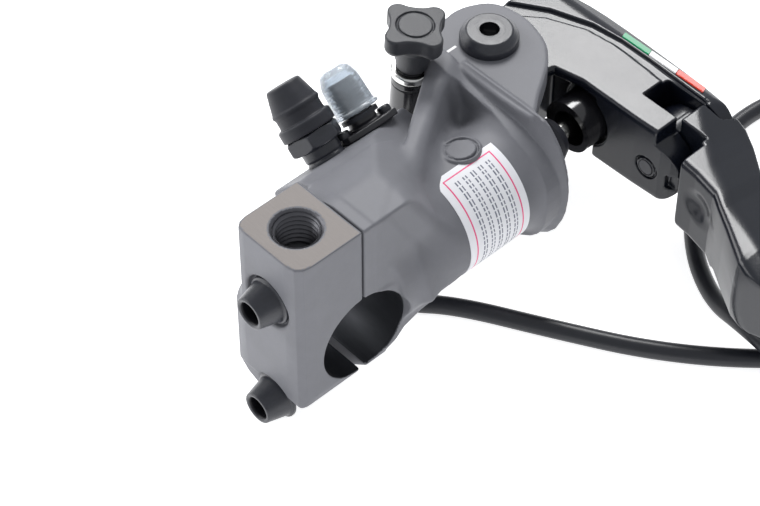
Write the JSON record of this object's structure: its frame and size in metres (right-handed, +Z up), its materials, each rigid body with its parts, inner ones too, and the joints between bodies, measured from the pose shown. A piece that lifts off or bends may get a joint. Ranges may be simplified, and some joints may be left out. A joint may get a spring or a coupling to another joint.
{
  "type": "brake master cylinder",
  "caption": "Radial brake master cylinder with folding lever, handlebar clamp, mirror boss, bleed screw, capped reservoir nipple, dead-stroke selector and switch cable.",
  "frame": {"origin": "centre of the handlebar clamp bore", "axes": "+X outboard along the handlebar, +Y forward along the piston bore, +Z up along the lever pivot"},
  "size_m": [0.2019, 0.185, 0.0569],
  "materials": {
    "body_grey": "satin hard-anodised",
    "lever_black": "glossy anodised",
    "screw_black": "satin black oxide",
    "steel": "bright",
    "bronze": "satin",
    "rubber_black": "matte",
    "nipple_black": "satin",
    "cap_clear": "translucent",
    "drum_black": "glossy",
    "tube_black": "glossy",
    "knob_black": "satin",
    "switch_black": "satin",
    "cable_black": "satin",
    "label_white": "satin",
    "inlay_green": "gloss",
    "inlay_white": "gloss",
    "inlay_red": "gloss"
  },
  "bodies": {
    "cylinder": {"body": "body_grey", "clamp_cap": "body_grey", "clamp_screws": "screw_black", "reservoir_nipple": "nipple_black", "nipple_seal": "rubber_black", "nipple_screws": "screw_black", "pivot_bolt": "screw_black", "pivot_nut": "steel", "pivot_washers": "steel", "circlip": "steel", "pushrod_boot": "rubber_black", "return_spring": "steel", "switch_body": "switch_black", "switch_screws": "steel", "switch_gland": "rubber_black", "switch_cable": "cable_black", "cable_connector": "switch_black", "connector_latch": "switch_black", "label": "label_white"},
    "bleed": {"bleed_screw": "screw_black"},
    "bleed_cover": {"bleed_cap": "rubber_black"},
    "nipple_cover": {"nipple_cap": "cap_clear"},
    "plunger_train": {"piston": "lever_black", "primary_seal": "rubber_black", "secondary_seal": "rubber_black"},
    "push": {"pushrod": "steel"},
    "lever": {"lever_arm": "lever_black", "pivot_bush": "bronze", "inlay_green": "inlay_green", "inlay_white": "inlay_white", "inlay_red": "inlay_red", "fold_pin": "screw_black", "fold_spring": "steel", "selector_tube": "tube_black", "selector_ring": "steel"},
    "drum": {"ratio_drum": "drum_black"},
    "selector": {"selector_shaft": "screw_black", "selector_knob": "knob_black"},
    "blade": {"lever_blade": "lever_black"},
    "switch_button": {"switch_plunger": "switch_black"}
  },
  "joints": [
    {"name": "lever_pivot", "type": "hinge", "parent": "cylinder", "child": "lever", "pos_m": [-0.019, 0.064, 0.0053], "axis": [0, 0, 1], "range_deg": [-14, 0], "stiffness_Nm_per_rad": 0.6, "springref_deg": 5.73},
    {"name": "piston_slide", "type": "slide", "parent": "cylinder", "child": "plunger_train", "axis": [0, 1, 0], "range_m": [-0.0056, 0], "deforming": ["return_spring", "pushrod_boot"]},
    {"name": "pushrod_tilt", "type": "hinge", "parent": "plunger_train", "child": "push", "pos_m": [0, 0.0515, 0.0053], "axis": [0, 0, 1], "range_deg": [-7, 0]},
    {"name": "ratio_turn", "type": "hinge", "parent": "lever", "child": "drum", "pos_m": [0, 0.08, 0.0053], "axis": [0, 1, 0], "range_deg": [0, 180]},
    {"name": "lever_fold", "type": "hinge", "parent": "lever", "child": "blade", "pos_m": [0.019, 0.086, 0.0035], "axis": [0, -1, 0], "range_deg": [0, 45], "stiffness_Nm_per_rad": 0.5, "springref_deg": -22.92},
    {"name": "selector_turn", "type": "hinge", "parent": "lever", "child": "selector", "pos_m": [-0.0266, 0.0456, -0.0096], "axis": [0.0412, 0.0366, 0.9985], "range_deg": [-90, 90]},
    {"name": "bleed_turn", "type": "hinge", "parent": "cylinder", "child": "bleed", "pos_m": [-0.0176, 0.015, 0.0208], "axis": [-0.7513, 0, 0.66], "range_deg": [0, 180]},
    {"name": "bleed_cap_pull", "type": "slide", "parent": "bleed", "child": "bleed_cover", "axis": [-0.7513, 0, 0.66], "range_m": [0, 0.012]},
    {"name": "nipple_cap_pull", "type": "slide", "parent": "cylinder", "child": "nipple_cover", "axis": [-0.7513, 0, 0.66], "range_m": [0, 0.012]},
    {"name": "switch_press", "type": "slide", "parent": "cylinder", "child": "switch_button", "axis": [-1, 0, 0], "range_m": [0, 0.0016]}
  ],
  "couplings": [
    {"joint": "piston_slide", "follows": "lever_pivot", "m_per_rad": 0.0199},
    {"joint": "pushrod_tilt", "follows": "lever_pivot", "ratio": 0.43},
    {"joint": "switch_press", "follows": "lever_pivot", "m_per_rad": -0.0062}
  ]
}
